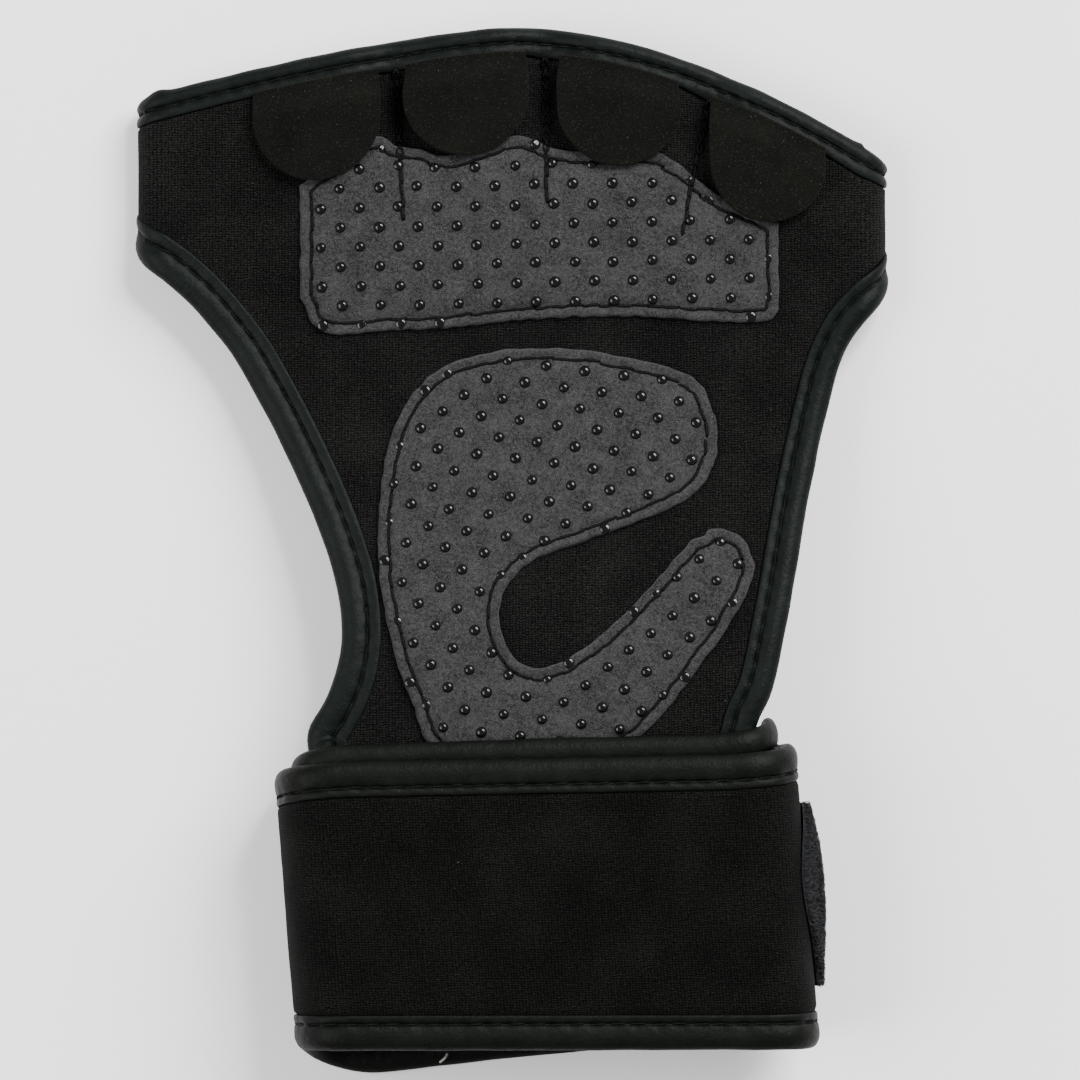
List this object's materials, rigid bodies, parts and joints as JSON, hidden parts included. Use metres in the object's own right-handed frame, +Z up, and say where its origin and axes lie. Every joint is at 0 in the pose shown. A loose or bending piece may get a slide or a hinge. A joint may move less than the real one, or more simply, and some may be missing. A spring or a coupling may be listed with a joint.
{
  "type": "fitness glove",
  "caption": "Open-back fitness glove lying palm up, with padded grip patches, pull tabs over the finger holes and a strap wound round the wrist.",
  "frame": {"origin": "middle of the glove's outline, on the surface it rests on", "axes": "+Y from the wrist towards the fingertips, +Z up from the back of the hand through the palm, +X towards the little finger"},
  "size_m": [0.1306, 0.1829, 0.0284],
  "materials": {
    "neoprene_knit": "black knitted face on foam rubber, matt",
    "strap_knit": "black knitted face on foam rubber, matt",
    "grip_suede": "grey microfibre suede with clear dark silicone dots",
    "tab_microfibre": "black brushed microfibre, matt",
    "binding_leatherette": "black leatherette with a faint green cast, satin",
    "strap_leatherette": "black leatherette with a faint green cast, satin",
    "loop_pile": "black brushed loop pile, matt",
    "hook_tape": "black hook tape, matt"
  },
  "bodies": {
    "root": {"palm_panel": "neoprene_knit", "knuckle_band": "neoprene_knit", "top_binding": "binding_leatherette", "side_binding": "binding_leatherette", "finger_patch": "grip_suede", "palm_patch": "grip_suede", "index_tab": "tab_microfibre", "middle_tab": "tab_microfibre", "ring_tab": "tab_microfibre", "little_tab": "tab_microfibre", "wrist_strap": "strap_knit", "strap_binding_upper": "strap_leatherette", "strap_binding_lower": "strap_leatherette", "loop_patch": "loop_pile", "hook_patch": "hook_tape"}
  },
  "joints": []
}
